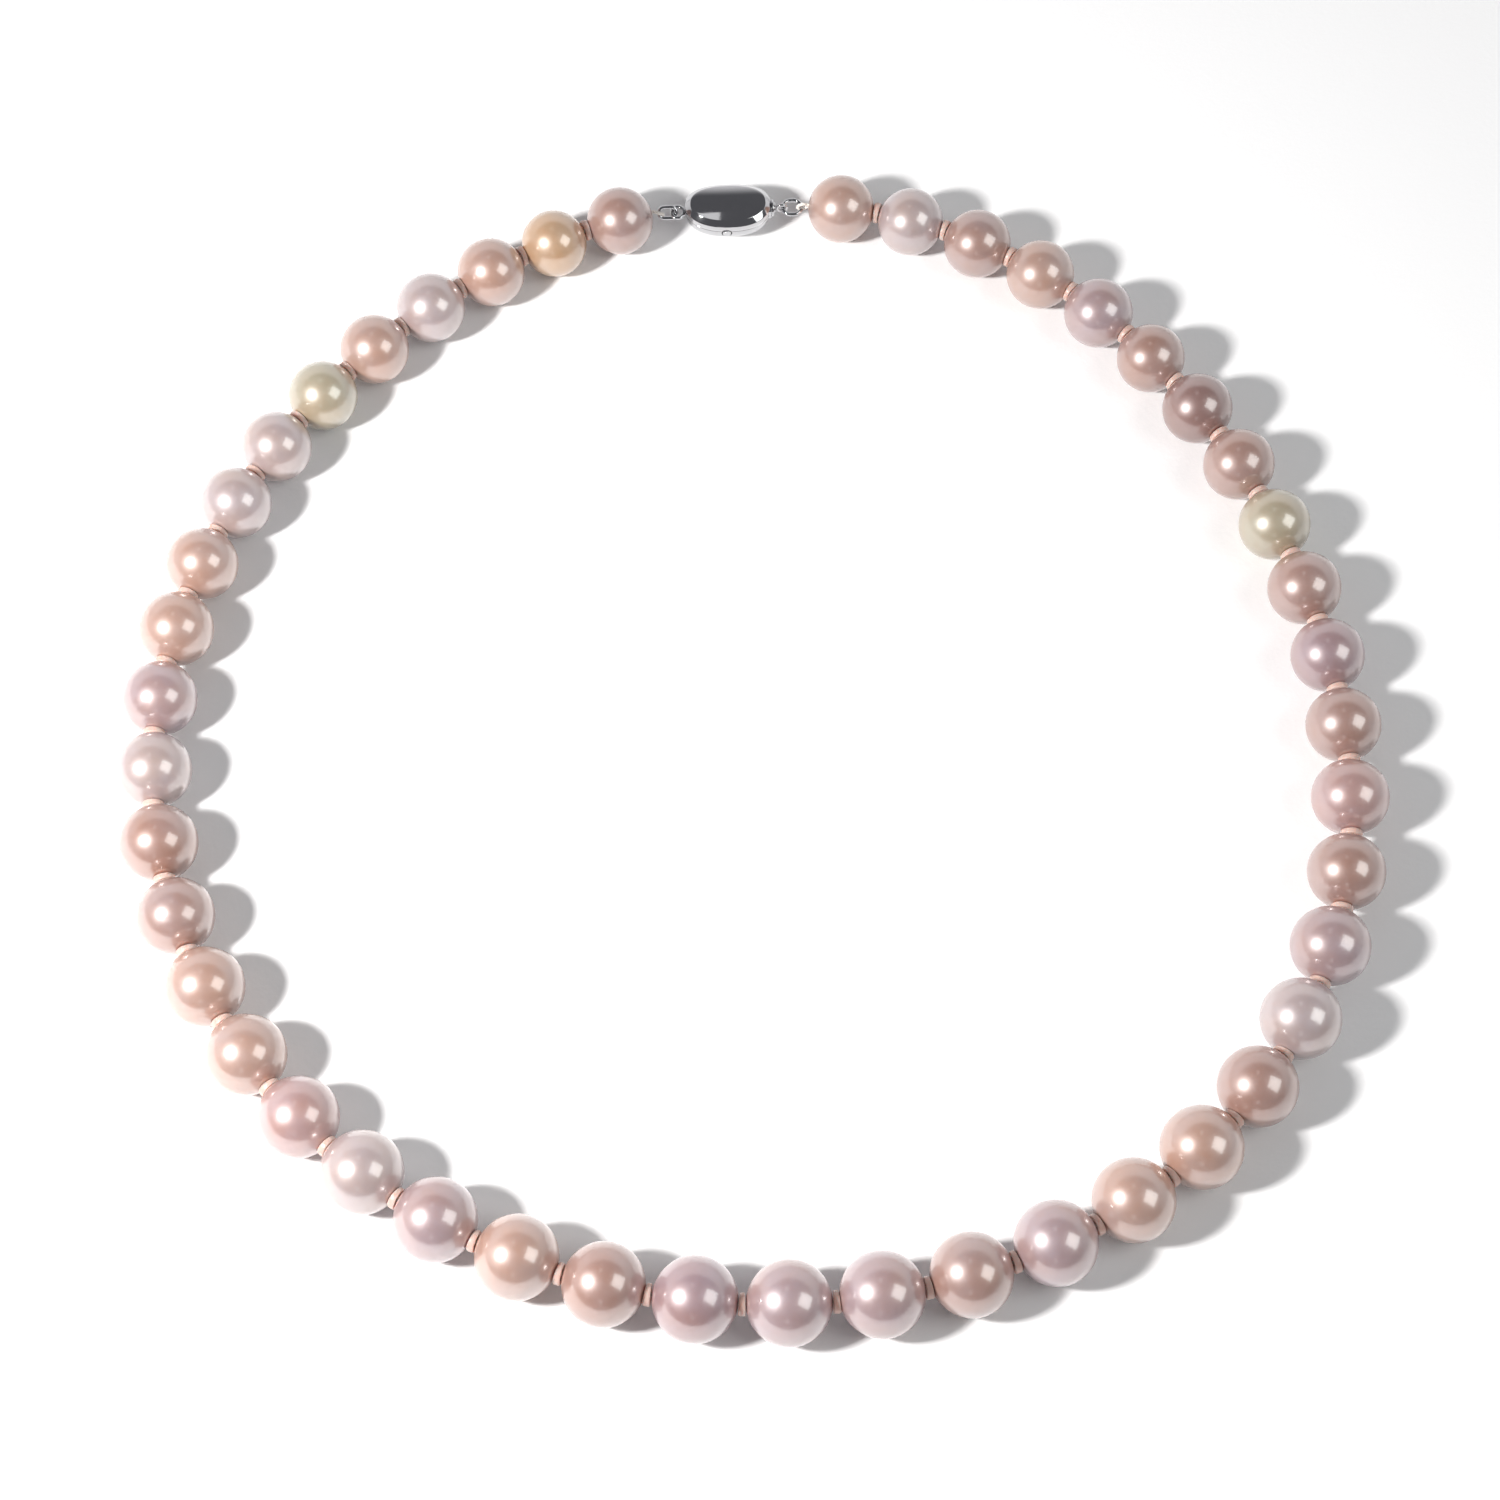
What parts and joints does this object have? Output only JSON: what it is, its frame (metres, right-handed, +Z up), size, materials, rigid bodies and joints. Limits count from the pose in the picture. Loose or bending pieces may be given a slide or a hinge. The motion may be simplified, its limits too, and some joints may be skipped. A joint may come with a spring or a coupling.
{
  "type": "pearl necklace",
  "caption": "Single strand of graduated near-round pearls on a silk thread, a soft spacer ring between neighbours, closed by a silver box clasp with a push-button tongue.",
  "frame": {"origin": "middle of the laid necklace's outline, on the surface it lies on", "axes": "+Z up, +Y to the back where the clasp is, +X to the right seen from the front"},
  "size_m": [0.1484, 0.1532, 0.0095],
  "materials": {
    "nacre": "polished",
    "polished_silver": "polished",
    "spring_silver": "satin",
    "silk_thread": "satin",
    "soft_spacer": "satin"
  },
  "bodies": {
    "clasp": {"box_top_shell": "polished_silver", "box_bottom_shell": "polished_silver", "box_eye": "polished_silver", "thread": "silk_thread"},
    "tongue": {"tongue_leaf": "spring_silver", "tongue_stop": "polished_silver", "tongue_eye": "polished_silver"},
    "tongue_spring": {"tongue_spring": "spring_silver", "release_button": "polished_silver"},
    "left_ring": {"left_jump_ring": "polished_silver"},
    "pearls_01_to_04": {"pearl_01": "nacre", "pearl_02": "nacre", "pearl_03": "nacre", "pearl_04": "nacre", "right_jump_ring": "polished_silver", "right_end_loop": "silk_thread"},
    "pearls_05_to_08": {"pearl_05": "nacre", "pearl_06": "nacre", "pearl_07": "nacre", "pearl_08": "nacre"},
    "pearls_09_to_12": {"pearl_09": "nacre", "pearl_10": "nacre", "pearl_11": "nacre", "pearl_12": "nacre"},
    "pearls_13_to_16": {"pearl_13": "nacre", "pearl_14": "nacre", "pearl_15": "nacre", "pearl_16": "nacre"},
    "pearls_17_to_20": {"pearl_17": "nacre", "pearl_18": "nacre", "pearl_19": "nacre", "pearl_20": "nacre"},
    "pearls_21_to_23": {"pearl_21": "nacre", "pearl_22": "nacre", "pearl_23": "nacre"},
    "pearls_42_to_45": {"pearl_45": "nacre", "pearl_44": "nacre", "pearl_43": "nacre", "pearl_42": "nacre", "left_end_loop": "silk_thread"},
    "pearls_38_to_41": {"pearl_41": "nacre", "pearl_40": "nacre", "pearl_39": "nacre", "pearl_38": "nacre"},
    "pearls_34_to_37": {"pearl_37": "nacre", "pearl_36": "nacre", "pearl_35": "nacre", "pearl_34": "nacre"},
    "pearls_30_to_33": {"pearl_33": "nacre", "pearl_32": "nacre", "pearl_31": "nacre", "pearl_30": "nacre"},
    "pearls_26_to_29": {"pearl_29": "nacre", "pearl_28": "nacre", "pearl_27": "nacre", "pearl_26": "nacre"},
    "pearls_24_to_25": {"pearl_25": "nacre", "pearl_24": "nacre"}
  },
  "joints": [
    {"name": "tongue_slide", "type": "slide", "parent": "clasp", "child": "tongue", "axis": [0.9986, 0.0523, 0], "range_m": [0, 0.01]},
    {"name": "button_press", "type": "hinge", "parent": "tongue", "child": "tongue_spring", "pos_m": [-0.00623, 0.07276, 0.0037], "axis": [0, 0, 1], "range_deg": [0, 10], "stiffness_Nm_per_rad": 0.02, "deforming": ["tongue_spring", "release_button"]},
    {"name": "left_ring_turn", "type": "hinge", "parent": "clasp", "child": "left_ring", "pos_m": [-0.00942, 0.07224, 0.0037], "axis": [0, 0, 1], "range_deg": [-4, 4]},
    {"name": "right_ring_turn", "type": "hinge", "parent": "tongue", "child": "pearls_01_to_04", "pos_m": [0.00398, 0.07294, 0.0037], "axis": [0, 0, 1], "range_deg": [-5, 5]},
    {"name": "gap_04_flex", "type": "hinge", "parent": "pearls_01_to_04", "child": "pearls_05_to_08", "pos_m": [0.03977, 0.05998, 0.00421], "axis": [0, 0, 1], "range_deg": [-1.1, 1.1]},
    {"name": "gap_08_flex", "type": "hinge", "parent": "pearls_05_to_08", "child": "pearls_09_to_12", "pos_m": [0.06141, 0.03084, 0.0043], "axis": [0, 0, 1], "range_deg": [-4.7, 4.7]},
    {"name": "strand_flex", "type": "hinge", "parent": "pearls_09_to_12", "child": "pearls_13_to_16", "pos_m": [0.06993, -0.00536, 0.00444], "axis": [0, 0, 1], "range_deg": [-4.5, 1.8], "deforming": ["thread"]},
    {"name": "gap_16_flex", "type": "hinge", "parent": "pearls_13_to_16", "child": "pearls_17_to_20", "pos_m": [0.05986, -0.04251, 0.0046], "axis": [0, 0, 1], "range_deg": [-1.2, 1.2]},
    {"name": "gap_20_flex", "type": "hinge", "parent": "pearls_17_to_20", "child": "pearls_21_to_23", "pos_m": [0.02897, -0.06713, 0.00472], "axis": [0, 0, 1], "range_deg": [-5.6, 5.6]},
    {"name": "left_loop_turn", "type": "hinge", "parent": "left_ring", "child": "pearls_42_to_45", "pos_m": [-0.01162, 0.07212, 0.0037], "axis": [0, 0, 1], "range_deg": [-4.9, 4.9]},
    {"name": "gap_41_flex", "type": "hinge", "parent": "pearls_42_to_45", "child": "pearls_38_to_41", "pos_m": [-0.0433, 0.05478, 0.0042], "axis": [0, 0, 1], "range_deg": [-1.3, 1.3]},
    {"name": "gap_37_flex", "type": "hinge", "parent": "pearls_38_to_41", "child": "pearls_34_to_37", "pos_m": [-0.06433, 0.02546, 0.00427], "axis": [0, 0, 1], "range_deg": [-4.5, 4.5]},
    {"name": "gap_33_flex", "type": "hinge", "parent": "pearls_34_to_37", "child": "pearls_30_to_33", "pos_m": [-0.06952, -0.0113, 0.00447], "axis": [0, 0, 1], "range_deg": [-5.9, 5.9]},
    {"name": "gap_29_flex", "type": "hinge", "parent": "pearls_30_to_33", "child": "pearls_26_to_29", "pos_m": [-0.05403, -0.0465, 0.00459], "axis": [0, 0, 1], "range_deg": [-1.3, 1.3]},
    {"name": "gap_25_flex", "type": "hinge", "parent": "pearls_26_to_29", "child": "pearls_24_to_25", "pos_m": [-0.02105, -0.06849, 0.00472], "axis": [0, 0, 1], "range_deg": [-5.6, 5.6]}
  ],
  "couplings": [
    {"joint": "left_ring_turn", "follows": "tongue_slide", "rad_per_m": 6.92},
    {"joint": "right_ring_turn", "follows": "strand_flex", "ratio": -0.8367},
    {"joint": "gap_04_flex", "follows": "strand_flex", "ratio": -0.1461},
    {"joint": "gap_08_flex", "follows": "strand_flex", "ratio": 0.7743},
    {"joint": "gap_16_flex", "follows": "strand_flex", "ratio": 0.1633},
    {"joint": "gap_20_flex", "follows": "strand_flex", "ratio": -0.9495},
    {"joint": "left_loop_turn", "follows": "strand_flex", "ratio": 0.8266},
    {"joint": "gap_41_flex", "follows": "strand_flex", "ratio": 0.1707},
    {"joint": "gap_37_flex", "follows": "strand_flex", "ratio": -0.7495},
    {"joint": "gap_33_flex", "follows": "strand_flex", "ratio": -0.9966},
    {"joint": "gap_29_flex", "follows": "strand_flex", "ratio": -0.1814},
    {"joint": "gap_25_flex", "follows": "strand_flex", "ratio": 0.9354}
  ]
}
